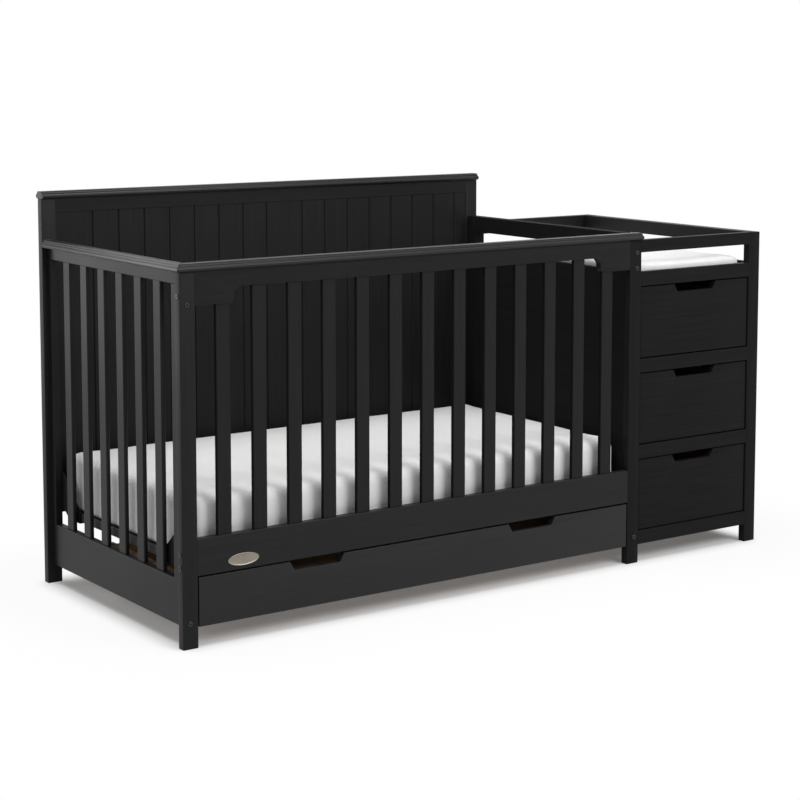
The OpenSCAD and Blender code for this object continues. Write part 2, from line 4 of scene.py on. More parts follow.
import bmesh
import bpy
import numpy as np
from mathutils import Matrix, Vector


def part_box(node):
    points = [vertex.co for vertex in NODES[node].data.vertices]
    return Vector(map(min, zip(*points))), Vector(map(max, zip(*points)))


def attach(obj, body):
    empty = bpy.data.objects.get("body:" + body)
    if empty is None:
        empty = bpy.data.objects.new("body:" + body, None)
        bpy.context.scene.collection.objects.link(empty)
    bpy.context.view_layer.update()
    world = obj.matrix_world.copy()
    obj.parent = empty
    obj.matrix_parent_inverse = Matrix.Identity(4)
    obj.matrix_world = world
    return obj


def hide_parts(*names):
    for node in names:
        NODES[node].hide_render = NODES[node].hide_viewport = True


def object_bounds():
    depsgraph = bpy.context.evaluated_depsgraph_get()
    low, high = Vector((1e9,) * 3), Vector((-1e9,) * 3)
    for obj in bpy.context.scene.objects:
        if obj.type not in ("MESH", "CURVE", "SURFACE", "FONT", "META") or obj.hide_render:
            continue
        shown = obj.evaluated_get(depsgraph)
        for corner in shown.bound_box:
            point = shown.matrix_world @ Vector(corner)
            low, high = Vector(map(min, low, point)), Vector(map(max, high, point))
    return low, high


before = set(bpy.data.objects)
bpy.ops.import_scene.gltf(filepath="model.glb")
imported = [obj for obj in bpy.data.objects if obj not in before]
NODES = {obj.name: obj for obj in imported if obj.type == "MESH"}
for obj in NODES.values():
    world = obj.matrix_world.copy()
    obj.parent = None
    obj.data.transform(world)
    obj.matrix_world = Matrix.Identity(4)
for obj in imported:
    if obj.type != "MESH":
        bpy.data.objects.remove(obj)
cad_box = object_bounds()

MM = 0.001


def in_scene(name, data):
    """A new object in the scene, for a mesh, a camera or a lamp."""
    made = bpy.data.objects.new(name, data)
    bpy.context.scene.collection.objects.link(made)
    return made


# ---------- camera ----------

CAMERA_AT = (-3.0435, -4.2894, 1.3694)
CAMERA_YAW, CAMERA_PITCH = 34.961, 6.015
FILM_WIDTH = 36
CAMERA_FOCUS = 1961.5 * FILM_WIDTH / 800  # 1961.5 pixels in a picture 800 wide
CAMERA_SHIFT = -0.17


def photo_camera():
    """A camera at the photograph's angle: turned from +Y towards +X by the yaw, dipped by the pitch."""
    data = bpy.data.cameras.new("photo_camera")
    data.sensor_width = FILM_WIDTH
    data.lens = CAMERA_FOCUS
    data.shift_y = CAMERA_SHIFT
    data.clip_start, data.clip_end = 0.1, 100
    cam = in_scene("photo_camera", data)
    cam.location = CAMERA_AT
    cam.rotation_euler = (math.radians(90 - CAMERA_PITCH), 0, math.radians(-CAMERA_YAW))
    bpy.context.scene.camera = cam


# ---------- shapes ----------


def new_piece(name, points, faces, material, crease=35):
    """A mesh piece from points and faces; edges sharper than `crease` degrees stay crisp, and so do
    the borders of a flat many-sided face, which is cut into triangles."""
    mesh = bpy.data.meshes.new(name)
    mesh.from_pydata(np.asarray(points, float).tolist(), [], [list(map(int, f)) for f in faces])
    bm = bmesh.new()
    bm.from_mesh(mesh)
    for face in bm.faces:
        face.smooth = len(face.verts) <= 4
    flats = [face for face in bm.faces if not face.smooth]
    bmesh.ops.triangulate(bm, faces=flats, ngon_method="EAR_CLIP")
    bm.to_mesh(mesh)
    bm.free()
    mesh.set_sharp_from_angle(angle=math.radians(crease))
    mesh.materials.append(material)
    return in_scene(name, mesh)


def ring_faces(rings, count):
    """Quads between neighbouring rings of `count` points, and one many-sided face on each end."""
    j, i = np.meshgrid(np.arange(rings - 1), np.arange(count), indexing="ij")
    a, b = j * count + i, j * count + (i + 1) % count
    quads = np.stack([a, b, b + count, a + count], -1).reshape(-1, 4).tolist()
    last = (rings - 1) * count
    return quads + [list(range(count))[::-1], list(range(last, last + count))]


def inset(outline, d):
    """The outline moved inwards by d: each corner goes along the sum of its two edges' normals.
    d stays under the radius of the outline's outward corners."""
    edge = np.roll(outline, -1, 0) - outline
    edge = edge / np.linalg.norm(edge, axis=1, keepdims=True)
    n2 = np.stack([-edge[:, 1], edge[:, 0]], 1)
    n1 = np.roll(n2, 1, 0)
    return outline + d * (n1 + n2) / (1 + (n1 * n2).sum(1, keepdims=True))


def eased_ends(depth, r, steps=3):
    """Inset and depth of each ring of a board: r(1 - sin t) in and r(1 - cos t) deep at both ends."""
    t = np.linspace(0, math.pi / 2, steps + 1)
    into, deep = r * (1 - np.sin(t)), r * (1 - np.cos(t))
    return np.concatenate([into, into[::-1]]), np.concatenate([deep, (depth - deep)[::-1]])


def board(name, axis, outline, low, high, ease, material):
    """A board: a flat outline carried along x, y or z, its two faces' edges rounded by `ease`. The
    outline runs counter-clockwise, as (y, z) for x, as (x, z) seen from the front for y, and as
    (x, y) for z."""
    rings = []
    for d, s in zip(*eased_ends(high - low, ease)):
        o = inset(outline, d)
        if axis == "x":
            rings.append(np.column_stack([np.full(len(o), low + s), o]))
        elif axis == "y":
            rings.append(np.column_stack([o[:, 0], np.full(len(o), high - s), o[:, 1]]))
        else:
            rings.append(np.column_stack([o, np.full(len(o), low + s)]))
    return new_piece(name, np.concatenate(rings), ring_faces(len(rings), len(outline)), material)


def round_corners(corners, radii, steps=4):
    """An outline whose corners become arcs: each arc runs between its two tangent points, which lie
    the radius over the tangent of half the corner's angle away from the corner."""
    out = []
    count = len(corners)
    for i in range(count):
        p, a, b = (np.array(corners[k % count], float) for k in (i, i - 1, i + 1))
        r = radii[i] if hasattr(radii, "__len__") else radii
        u, v = (a - p) / np.linalg.norm(a - p), (b - p) / np.linalg.norm(b - p)
        half = math.acos(np.clip(u @ v, -1, 1)) / 2
        if r <= 0 or half > math.radians(89):
            out.append(p[None])
            continue
        centre = p + (u + v) / np.linalg.norm(u + v) * r / math.sin(half)
        s, e = p + u * r / math.tan(half) - centre, p + v * r / math.tan(half) - centre
        t0 = math.atan2(s[1], s[0])
        turn = (math.atan2(e[1], e[0]) - t0 + math.pi) % (2 * math.pi) - math.pi
        t = t0 + turn * np.linspace(0, 1, steps + 1)
        out.append(centre + r * np.column_stack([np.cos(t), np.sin(t)]))
    return np.concatenate(out)


def rectangle(x0, y0, x1, y1, r):
    """The outline of a rectangle with corners of radius r."""
    return round_corners([(x0, y0), (x1, y0), (x1, y1), (x0, y1)], r)


def oval(name, centre, wide, high, steps, material, around=96):
    """A plate on a wall that faces -Y: ovals of falling half-axes, each step giving how far in
    from the edge it lies and how far out of the wall it stands."""
    t = np.linspace(0, 2 * math.pi, around, endpoint=False)
    rings = [
        np.column_stack([centre[0] + (wide / 2 - d) * np.cos(t), np.full(around, centre[1] - out),
                         centre[2] + (high / 2 - d) * np.sin(t)])
        for d, out in steps
    ]
    return new_piece(name, np.concatenate(rings), ring_faces(len(rings), around), material, 50)


# ---------- finishes ----------


def grey(level, blue=0.0):
    return level, level, level + blue


def set_stops(ramp, stops):
    """A colour ramp's stops, each as (place, colour)."""
    elements = ramp.color_ramp.elements
    for k, (at, colour) in enumerate(stops):
        stop = elements[k] if k < 2 else elements.new(at)
        stop.position, stop.color = at, (*colour, 1)


class Finish:
    """A Principled material: constants go on its own sockets, patterns come from object coordinates."""

    def __init__(self, name, **constants):
        self.made = bpy.data.materials.new(name)
        self.made.use_nodes = True
        self.tree = self.made.node_tree
        self.shader = self.tree.nodes["Principled BSDF"]
        for socket, value in constants.items():
            self.shader.inputs[socket.replace("_", " ")].default_value = value
        self.coordinates = self.node("ShaderNodeTexCoord")
        self.place = self.coordinates.outputs["Object"]

    def node(self, kind, settings=None, **inputs):
        """A node with its settings, and its inputs by name, or by number as i0, i1 and so on."""
        made = self.tree.nodes.new(kind)
        for key, value in (settings or {}).items():
            setattr(made, key, value)
        for key, value in inputs.items():
            numbered = key[0] == "i" and key[1:].isdigit()
            self.put(made.inputs[int(key[1:]) if numbered else key], value)
        return made

    def put(self, socket, value):
        if isinstance(value, bpy.types.NodeSocket):
            self.tree.links.new(value, socket)
        else:
            socket.default_value = value

    def stretched(self, scale):
        return self.node("ShaderNodeMapping", Vector=self.place, Scale=scale).outputs[0]

    def noise(self, where, scale, detail, rough=0.55):
        made = self.node("ShaderNodeTexNoise", Vector=where, Scale=scale, Detail=detail, Roughness=rough)
        return made.outputs["Fac"]

    def wave(self, where, scale, direction, distortion, detail):
        made = self.node("ShaderNodeTexWave", {"bands_direction": direction}, Vector=where, Scale=scale,
                         Distortion=distortion, Detail=detail)
        return made.outputs["Fac"]

    def maths(self, operation, a, b=0.0):
        return self.node("ShaderNodeMath", {"operation": operation}, i0=a, i1=b).outputs[0]

    def blend(self, a, share_a, b, share_b):
        """Two patterns added, each times its share."""
        return self.maths("ADD", self.maths("MULTIPLY", a, share_a), self.maths("MULTIPLY", b, share_b))

    def spread(self, value, low, high, start=0.0, end=1.0):
        """The value's range from start to end, stretched to low to high."""
        made = self.node("ShaderNodeMapRange", Value=value)
        for key, number in (("From Min", start), ("From Max", end), ("To Min", low), ("To Max", high)):
            made.inputs[key].default_value = number
        return made.outputs[0]

    def colours(self, value, *stops):
        """The base colour along a ramp of (place, colour) stops."""
        ramp = self.node("ShaderNodeValToRGB", Fac=value)
        set_stops(ramp, stops)
        self.put(self.shader.inputs["Base Color"], ramp.outputs[0])

    def roughness(self, value):
        self.put(self.shader.inputs["Roughness"], value)

    def bump(self, *layers):
        """Each layer is (height, depth in metres, strength)."""
        below = None
        for height, depth, strength in layers:
            made = self.node("ShaderNodeBump", Height=height, Distance=depth, Strength=strength)
            if below:
                self.put(made.inputs["Normal"], below)
            below = made.outputs[0]
        self.put(self.shader.inputs["Normal"], below)


def along(axis, lengthways, across):
    """Scales that stretch a pattern along one axis."""
    return tuple(lengthways if a == axis else across for a in "xyz")


def satin_paint(name, axis, gloss=0.13, smooth=0.36, shade_x_faces=False):
    """Sprayed satin black over planed wood: the grain shows through as faint long ridges. Faces that
    face x can be given painted shade, their colour darker, and their paint rougher."""
    f = Finish(name, IOR=1.45, Specular_IOR_Level=gloss)
    grain = f.noise(f.stretched(along(axis, 3, 90)), 1.6, 5, 0.6)
    cloud = f.noise(f.place, 5, 2)
    peel = f.noise(f.place, 620, 2)
    tone = grain
    uneven = f.maths("ADD", f.maths("MULTIPLY", grain, 0.4), cloud)
    rough = f.spread(uneven, smooth, smooth + 0.11, 0.35, 1.0)
    if shade_x_faces:
        facing = f.node("ShaderNodeSeparateXYZ", Vector=f.coordinates.outputs["Normal"]).outputs[0]
        edge = f.maths("ABSOLUTE", facing)
        # painted shade: the colour goes darker on faces that face x
        tone = f.maths("SUBTRACT", grain, edge)
        rough = f.maths("MAXIMUM", rough, edge)
    f.colours(tone, (0.0, grey(0.002)), (0.3, grey(0.0088, 0.0006)), (0.72, grey(0.0128, 0.0008)))
    f.roughness(rough)
    f.bump((grain, 0.0004, 0.22), (peel, 0.00012, 0.18))
    return f.made


def bare_wood(name, axis, light, dark, ring=26.0, shine=0.62):
    """Planed softwood: growth rings as bent bands, with fine fibres and pores along the grain."""
    f = Finish(name, IOR=1.4)
    bent = f.stretched(along(axis, 0.9, 8))
    rings = f.wave(bent, ring / 8, "DIAGONAL", 7.0, 3)
    fibre = f.noise(f.stretched(along(axis, 4, 160)), 2.2, 6, 0.65)
    pores = f.noise(f.stretched(along(axis, 20, 700)), 1.0, 3)
    middle = tuple((a + b) / 2 for a, b in zip(light, dark))
    f.colours(f.blend(rings, 0.5, fibre, 0.6), (0.2, dark), (0.85, light), (0.5, middle))
    f.roughness(f.spread(fibre, shine - 0.08, shine + 0.08))
    f.bump((fibre, 0.0005, 0.3), (pores, 0.0002, 0.3))
    return f.made


def knitted(name, colour, rib, depth, sheen, rough):
    """Knitted cloth: ribs as waves along all three axes, `rib` apart, so that two of them show on any
    face, with uneven yarn in tone and height. The wave pattern turns by 20 radians over its own unit."""
    f = Finish(name, Sheen_Weight=sheen, Sheen_Roughness=0.45, IOR=1.4)
    x, y, z = (f.wave(f.place, 2 * math.pi / 20 / rib, d, 0.6, 1) for d in "XYZ")
    ribs = f.maths("MULTIPLY", f.maths("ADD", f.maths("ADD", x, y), z), 0.333)
    yarn = f.noise(f.place, 240, 3)
    patch = f.noise(f.place, 9, 3)
    tone = f.maths("ADD", f.maths("MULTIPLY", ribs, 0.35), f.blend(yarn, 0.25, patch, 0.4))
    shade = tuple(c * 0.93 for c in colour)
    f.colours(tone, (0.3, shade), (0.7, colour))
    f.roughness(f.spread(yarn, rough - 0.05, rough + 0.05))
    f.bump((ribs, depth, 0.5), (yarn, depth, 0.4))
    return f.made


def wiped_cover(name, colour):
    """A coated, wipe-clean cover: a soft even grain of tiny cells."""
    f = Finish(name, IOR=1.45, Coat_Weight=0.06, Coat_Roughness=0.4)
    cells = f.node("ShaderNodeTexVoronoi", Vector=f.place, Scale=700.0).outputs["Distance"]
    patch = f.noise(f.place, 14, 3)
    f.colours(patch, (0.3, tuple(c * 0.95 for c in colour)), (0.7, colour))
    f.roughness(f.spread(patch, 0.5, 0.6))
    f.bump((cells, 0.0002, 0.3), (patch, 0.002, 0.1))
    return f.made


def speckled(name, dark, light, rough, metallic=0.0, speck=900.0, depth=0.15 * MM, gloss=0.5):
    """Coated or plated steel, or pressed board: specks in tone and height, clouds in roughness."""
    f = Finish(name, Metallic=metallic, Specular_IOR_Level=gloss)
    specks = f.noise(f.place, speck, 3)
    cloud = f.noise(f.place, 30, 2)
    f.colours(f.blend(specks, 0.6, cloud, 0.4), (0.3, dark), (0.7, light))
    f.roughness(f.spread(cloud, rough - 0.06, rough + 0.08))
    f.bump((specks, depth, 0.35))
    return f.made


def bolt_steel(name, axis, head_top):
    """Blackened bolt steel along one axis: the head's face in the steel's own dark tone, and below it,
    in the socket and round the rim, near-black as painted shade. head_top is the level of the head's
    face on that axis."""
    f = Finish(name, Metallic=1.0, Roughness=0.3)
    level = f.node("ShaderNodeSeparateXYZ", Vector=f.place).outputs["xyz".index(axis)]
    # painted shade: near-black below the head's face, in the socket and round the rim
    below = f.spread(level, 0.0, 1.0, head_top, head_top + 1 * MM)
    f.colours(below, (0.3, grey(0.047, 0.002)), (0.5, grey(0.002)))
    specks = f.noise(f.place, 1200, 3)
    f.bump((specks, 0.00004, 0.35))
    return f.made


paint = {axis: satin_paint("satin_black_" + axis, axis) for axis in "xyz"}
changer_paint = {axis: satin_paint("changer_black_" + axis, axis, gloss=0.05) for axis in "xyz"}
end_paint = {axis: satin_paint("end_black_" + axis, axis, smooth=0.27) for axis in "yz"}
cap_paint = {"x": satin_paint("cap_black_x", "x", gloss=0.25, smooth=0.34),
             "y": satin_paint("cap_black_y", "y", gloss=0.5, smooth=0.26)}
panel_paint = satin_paint("panel_black", "y", gloss=0.04, smooth=0.6)
# The slats' sides that face x carry painted shade.
slat_paint = satin_paint("slat_black", "z", shade_x_faces=True)
rail_paint = satin_paint("rail_black", "x", gloss=0.18)
drawer_paint = satin_paint("drawer_black", "x", gloss=0.27)
pine = (0.66, 0.48, 0.30), (0.50, 0.33, 0.18)
finish = {
    "box_side": bare_wood("drawer_board_y", "y", *pine),
    "box_back": bare_wood("drawer_board_x", "x", *pine),
    "bed_slat": bare_wood("bed_slat_wood", "y", (0.68, 0.50, 0.31), (0.52, 0.35, 0.19), ring=18.0),
    # The drawer bottoms are darker than the pine boards: partly the plywood's own tone, partly painted
    # shade for the inside of the closed drawers.
    "box_bottom": bare_wood("drawer_plywood_shaded", "x", (0.36, 0.25, 0.155), (0.27, 0.185, 0.11),
                            ring=9.0, shine=0.7),
    "runner": bare_wood("waxed_runner", "y", (0.46, 0.31, 0.18), (0.35, 0.22, 0.12),
                        ring=30.0, shine=0.5),
    "hardboard": speckled("black_hardboard", grey(0.012), (0.022, 0.021, 0.020), rough=0.7,
                          speck=500.0, depth=0.2 * MM),
    "frame_steel": speckled("powder_coat", grey(0.03, 0.001), grey(0.042, 0.001), rough=0.5),
    # The brackets' coat is near-black, darker than the frame's powder coat: partly their own black,
    # partly painted shade for the shaded corners where they sit.
    "plate_steel": speckled("corner_plate_coat_and_shade", grey(0.004), grey(0.006), rough=0.6, gloss=0.1),
    "plate": speckled("pewter_plate", (0.19, 0.17, 0.145), (0.30, 0.27, 0.23), rough=0.36,
                      metallic=1.0, speck=300.0, depth=0.05 * MM),
    "mattress": knitted("mattress_cover", (0.84, 0.84, 0.835), rib=6.912 * MM, depth=0.25 * MM,
                        sheen=0.25, rough=0.82),
    "pad": wiped_cover("pad_cover", grey(0.84)),
}

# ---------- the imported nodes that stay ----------

DRAWERS = ["top_drawer", "middle_drawer", "bottom_drawer", "crib_drawer"]
LOOKS = {
    paint["x"]: ["headboard_top_rail", "headboard_bottom_rail", "changer_back_rail"],
    paint["y"]: ["changer_right_rail"],
    panel_paint: ["changer_left_rail", "changer_left_panel"],
    paint["z"]: ["headboard_panel"],
    end_paint["y"]: ["left_end_top_rail", "left_end_lower_rail"],
    end_paint["z"]: ["left_end_stiles", "left_end_slats"],
    slat_paint: ["front_slats"],
    rail_paint: ["front_lower_rail"],
    changer_paint["x"]: ["changer_top_rail", "changer_mid_rail", "changer_upper_divider",
                         "changer_lower_divider", "changer_bottom_rail", "changer_back_mid_rail",
                         "changer_back_bottom_rail", "changer_tray"],
    changer_paint["y"]: ["changer_right_panel"],
    finish["hardboard"]: ["changer_back_panel"],
    finish["frame_steel"]: ["support_frame"],
    finish["plate_steel"]: ["support_brackets"],
    finish["bed_slat"]: ["support_slats"],
    finish["runner"]: ["changer_runners", "crib_drawer_runners"],
    finish["box_side"]: [drawer + "_sides" for drawer in DRAWERS],
    finish["box_back"]: [drawer + "_back" for drawer in DRAWERS],
    finish["box_bottom"]: [drawer + "_bottom" for drawer in DRAWERS],
    bolt_steel("front_bolt_steel", "y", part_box("front_bolts")[0].y): ["front_bolts"],
    bolt_steel("side_bolt_steel", "x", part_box("side_bolts")[0].x): ["side_bolts"],
}
for look, names in LOOKS.items():
    for node_name in names:
        mesh = NODES[node_name].data
        mesh.materials.clear()
        mesh.materials.append(look)


def stands_for(piece, node_name, body="frame"):
    """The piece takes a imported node's place and moves with its body."""
    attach(piece, body)
    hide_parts(node_name)


# ---------- posts, with eased ends ----------

POST_EDGE, POST_EASE = 1 * MM, 1.8 * MM
CRIB_POSTS = ["front_left_post", "headboard_left_post", "headboard_right_post"]
CHANGER_POSTS = ["changer_front_left_post", "changer_front_right_post", "changer_back_left_post",
                 "changer_back_right_post"]
for node_name in CRIB_POSTS + CHANGER_POSTS:
    lo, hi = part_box(node_name)
    look = (changer_paint if node_name in CHANGER_POSTS else paint)["z"]
    outline = rectangle(lo.x, lo.y, hi.x, hi.y, POST_EDGE)
    post = board(node_name + "_eased", "z", outline, lo.z, hi.z, POST_EASE, look)
    stands_for(post, node_name)

# ---------- front top rail, with its two brackets in one board ----------

BRACKET_DROP, BRACKET_FLAT, BRACKET_LOW_R, BRACKET_HIGH_R = 38 * MM, 89 * MM, 14 * MM, 20 * MM
RAIL_CORNER, RAIL_EASE = 0.9 * MM, 0.8 * MM
lo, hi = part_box("front_top_rail")
under = lo.z + BRACKET_DROP
knee = BRACKET_FLAT + BRACKET_LOW_R
left = [(lo.x, lo.z), (lo.x + knee, lo.z), (lo.x + knee, under)]
right = [(hi.x - knee, under), (hi.x - knee, lo.z), (hi.x, lo.z)]
corners = left + right + [(hi.x, hi.z), (lo.x, hi.z)]
bracket_radii = [BRACKET_LOW_R, BRACKET_HIGH_R]
radii = [RAIL_CORNER] + bracket_radii + bracket_radii[::-1] + [RAIL_CORNER] * 3
outline = round_corners(corners, radii, 10)
rail = board("front_top_rail_eased", "y", outline, lo.y, hi.y, RAIL_EASE, paint["x"])
stands_for(rail, "front_top_rail")

# ---------- drawer fronts, with their finger notches ----------

NOTCH_TOP, NOTCH_LOW, NOTCH_DEEP, NOTCH_R, NOTCH_LIP_R = 154 * MM, 130 * MM, 21 * MM, 6 * MM, 2 * MM
CRIB_NOTCH = 332 * MM  # from the crib drawer's middle to each of its two notches
FRONT_CORNER, FRONT_EASE = 1 * MM, 0.9 * MM


def notched_front(lo, hi, middles):
    """A front's outline: a rectangle whose top edge dips at each middle, down sloping ends to a flat."""
    corners = [(lo.x, lo.z), (hi.x, lo.z), (hi.x, hi.z)]
    radii = [FRONT_CORNER] * 3
    for x in sorted(middles, reverse=True):
        corners += [(x + NOTCH_TOP / 2, hi.z), (x + NOTCH_LOW / 2, hi.z - NOTCH_DEEP),
                    (x - NOTCH_LOW / 2, hi.z - NOTCH_DEEP), (x - NOTCH_TOP / 2, hi.z)]
        radii += [NOTCH_LIP_R, NOTCH_R, NOTCH_R, NOTCH_LIP_R]
    return round_corners(corners + [(lo.x, hi.z)], radii + [FRONT_CORNER], 6)


for drawer in DRAWERS:
    lo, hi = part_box(drawer + "_front")
    middle = (lo.x + hi.x) / 2
    middles = [middle - CRIB_NOTCH, middle + CRIB_NOTCH] if drawer == "crib_drawer" else [middle]
    look = drawer_paint if drawer == "crib_drawer" else changer_paint["x"]
    outline = notched_front(lo, hi, middles)
    front = board(drawer + "_front_eased", "y", outline, lo.y, hi.y, FRONT_EASE, look)
    stands_for(front, drawer + "_front", drawer)

# ---------- moulded caps ----------

CAP_OVER, CAP_THICK, POST_DEEP = 11 * MM, 19 * MM, 22 * MM
CUT_EASE, MITRE_GAP = 0.6 * MM, 0.15 * MM


def cap_side():
    """Half of the cap's section, from the bottom up, as (outwards from the post, height): a half-round
    nose, a small riser, a quarter-round bead, and a riser with an eased top edge."""
    nose, bead = 5.5 * MM, 4 * MM
    t = np.linspace(-90, 90, 17) * math.pi / 180
    u = np.linspace(0, 90, 9) * math.pi / 180
    nose_x, bead_x, bead_z = CAP_OVER - nose, CAP_OVER - nose - 0.5 * MM, CAP_THICK - 2.2 * MM - bead
    lows = np.array([(0, 0), (bead_x - 1 * MM, 0), (bead_x, 1 * MM)])
    round_nose = np.column_stack([nose_x + nose * np.cos(t), 1 * MM + nose + nose * np.sin(t)])
    step = np.array([(bead_x, 1 * MM + 2 * nose)])
    round_bead = np.column_stack([bead_x - bead + bead * np.cos(u), bead_z + bead * np.sin(u)])
    top_x = bead_x - bead
    tops = np.array([(top_x, CAP_THICK - 0.7 * MM), (top_x - 0.2 * MM, CAP_THICK - 0.2 * MM),
                     (top_x - 0.7 * MM, CAP_THICK)])
    return np.concatenate([lows, round_nose, step, round_bead, tops])


def cap(name, lengthways, front, base, start, end, mitre, material):
    """The cap's section carried along x or y from start to end, its cut edges broken by CUT_EASE.
    `front` is the post's outer face. At a mitre each point starts where its distance along the cap
    equals its distance across the other cap."""
    side = cap_side()
    section = np.concatenate([side * (-1, 1), side[::-1] + (POST_DEEP, 0)])
    if lengthways == "x":
        section = section[::-1]
    into, deep = eased_ends(end - start, CUT_EASE, 2)
    half = len(into) // 2
    points = []
    for k, (d, s) in enumerate(zip(into, deep)):
        o = inset(section, d)
        at = start + s + (o[:, 0] if mitre and k < half else 0) * np.ones(len(o))
        across, up = front + o[:, 0], base + o[:, 1]
        points.append(np.column_stack([at, across, up] if lengthways == "x" else [across, at, up]))
    return new_piece(name, np.concatenate(points), ring_faces(len(into), len(section)), material, 32)


post_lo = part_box("front_left_post")[0]
lo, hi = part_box("front_cap")
start = post_lo.x + MITRE_GAP
piece = cap("front_cap_moulded", "x", post_lo.y, lo.z, start, hi.x, True, cap_paint["x"])
stands_for(piece, "front_cap")
lo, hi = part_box("left_end_cap")
start = post_lo.y + MITRE_GAP
piece = cap("left_end_cap_moulded", "y", post_lo.x, lo.z, start, hi.y, True, cap_paint["y"])
stands_for(piece, "left_end_cap")
lo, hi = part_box("headboard_cap")
piece = cap("headboard_cap_moulded", "x", lo.y + CAP_OVER, lo.z, lo.x, hi.x, False, cap_paint["x"])
stands_for(piece, "headboard_cap")

# ---------- oval plate on the front lower rail ----------

PLATE_WIDE, PLATE_HIGH = 84 * MM, 30 * MM
PLATE_ALONG, PLATE_UP = 162.6 * MM, 195 * MM  # its middle, from the left post's side and the floor
PLATE_RIM = [(0, 0), (0, 1.4), (0.25, 1.9), (0.8, 2.1), (1.6, 1.95), (2.1, 1.4), (2.6, 1.15)]
PLATE_DOME = [(8, 1.35), (14, 1.5)]
plate_at = (post_lo.x + PLATE_ALONG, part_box("front_lower_rail")[0].y, PLATE_UP)
plate_steps = [(into * MM, out * MM) for into, out in PLATE_RIM + PLATE_DOME]
piece = oval("oval_plate", plate_at, PLATE_WIDE, PLATE_HIGH, plate_steps, finish["plate"])
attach(piece, "frame")

# ---------- padded pieces ----------


def box_of_cells(size, cell):
    """The six sides of a box as grids of cells: points from -1 to 1 each way, and their quads, with the
    sides not yet joined."""
    counts = np.maximum(2, np.round(size / cell)).astype(int)
    points, faces, base = [], [], 0
    for axis in range(3):
        a, b = [k for k in range(3) if k != axis]
        ta, tb = np.linspace(-1, 1, counts[a] + 1), np.linspace(-1, 1, counts[b] + 1)
        for sign in (-1, 1):
            p = np.zeros((len(ta), len(tb), 3))
            p[..., a], p[..., b], p[..., axis] = ta[:, None], tb[None, :], sign
            i, j = np.meshgrid(np.arange(len(ta) - 1), np.arange(len(tb) - 1), indexing="ij")
            n = len(tb)
            quad = np.stack([i * n + j, (i + 1) * n + j, (i + 1) * n + j + 1, i * n + j + 1], -1)
            if (sign < 0) != (axis == 1):
                quad = quad[..., ::-1]
            points.append(p.reshape(-1, 3))
            faces.append(quad.reshape(-1, 4) + base)
            base += len(points[-1])
    return np.concatenate(points), np.concatenate(faces)


def foam_block(name, lo, hi, corner_r, top_r, low_r, cell, top, material):
    """A block of foam in its cover. A box of cells is rounded twice: in plan, a point beyond the inner
    rectangle moves along its own direction to the corner's circle; then, in section, the same for the
    top and bottom edges. `top` adds height from how far across (-1 to 1) a point of the top lies."""
    half = (np.array(hi) - np.array(lo)) / 2
    p, faces = box_of_cells(half * 2, cell)
    p = p * half
    flat = p[:, :2]
    inner = np.clip(flat, -(half[:2] - corner_r), half[:2] - corner_r)
    out = flat - inner
    reach = np.abs(out).max(1)
    way = out / np.maximum(np.linalg.norm(out, axis=1), 1e-9)[:, None]
    edge_r = np.where(p[:, 2] > 0, top_r, low_r)
    e = np.maximum(reach - (corner_r - edge_r), 0)
    z = np.maximum(np.abs(p[:, 2]) - (half[2] - edge_r), 0)
    longest, length = np.maximum(e, z), np.maximum(np.hypot(e, z), 1e-9)
    radial = np.minimum(reach, corner_r - edge_r) + e * longest / length
    level = np.minimum(np.abs(p[:, 2]), half[2] - edge_r) + z * longest / length
    across = p[:, :2] / half[:2]
    lift = top(across[:, 0], across[:, 1]) * np.clip(p[:, 2] / half[2] + 0.2, 0, 1)
    p = np.column_stack([inner + way * radial[:, None], np.sign(p[:, 2]) * level + lift])
    p += (np.array(lo) + np.array(hi)) / 2
    piece = new_piece(name, p, faces, material, 180)
    bm = bmesh.new()
    bm.from_mesh(piece.data)
    bmesh.ops.remove_doubles(bm, verts=bm.verts, dist=1e-5)
    bmesh.ops.recalc_face_normals(bm, faces=bm.faces)
    bm.to_mesh(piece.data)
    bm.free()
    return piece


def of_each_point(mesh, what):
    """A mesh's points ("co") or normals ("normal"), as rows of x, y and z."""
    rows = np.empty(len(mesh.vertices) * 3, np.float32)
    mesh.vertices.foreach_get(what, rows)
    return rows.reshape(-1, 3).astype(float)


def move_points(mesh, points):
    mesh.vertices.foreach_set("co", points.astype(np.float32).ravel())
    mesh.update()


COVER_CLOTH = {"quality": 6, "mass": 0.35, "tension_stiffness": 25, "compression_stiffness": 25,
               "shear_stiffness": 12, "bending_stiffness": 1.5, "use_pressure": True}
CLOTH_FRAMES = 20


def blown_up(piece, pressure, pinned_below, furthest):
    """Swells the cover with Blender's cloth under pressure, its underside held flat. A point that the
    cloth moves by d goes furthest * tanh(d / furthest), so none goes beyond `furthest`."""
    mesh = piece.data
    before = of_each_point(mesh, "co")
    held = piece.vertex_groups.new(name="underside")
    held.add(np.nonzero(before[:, 2] < pinned_below)[0].tolist(), 1.0, "REPLACE")
    cloth = piece.modifiers.new("Cloth", "CLOTH")
    for key, value in COVER_CLOTH.items():
        setattr(cloth.settings, key, value)
    cloth.settings.vertex_group_mass = held.name
    cloth.settings.uniform_pressure_force = pressure
    cloth.settings.effector_weights.gravity = 0
    cloth.point_cache.frame_start, cloth.point_cache.frame_end = 1, CLOTH_FRAMES
    for at in range(1, CLOTH_FRAMES + 1):
        bpy.context.scene.frame_set(at)
    swollen = piece.evaluated_get(bpy.context.evaluated_depsgraph_get())
    moved = of_each_point(swollen.data, "co") - before
    far = np.linalg.norm(moved, axis=1, keepdims=True)
    moved *= furthest * np.tanh(far / furthest) / np.maximum(far, 1e-9)
    piece.modifiers.remove(cloth)
    piece.vertex_groups.remove(held)
    move_points(mesh, before + moved)
    bpy.context.scene.frame_set(1)


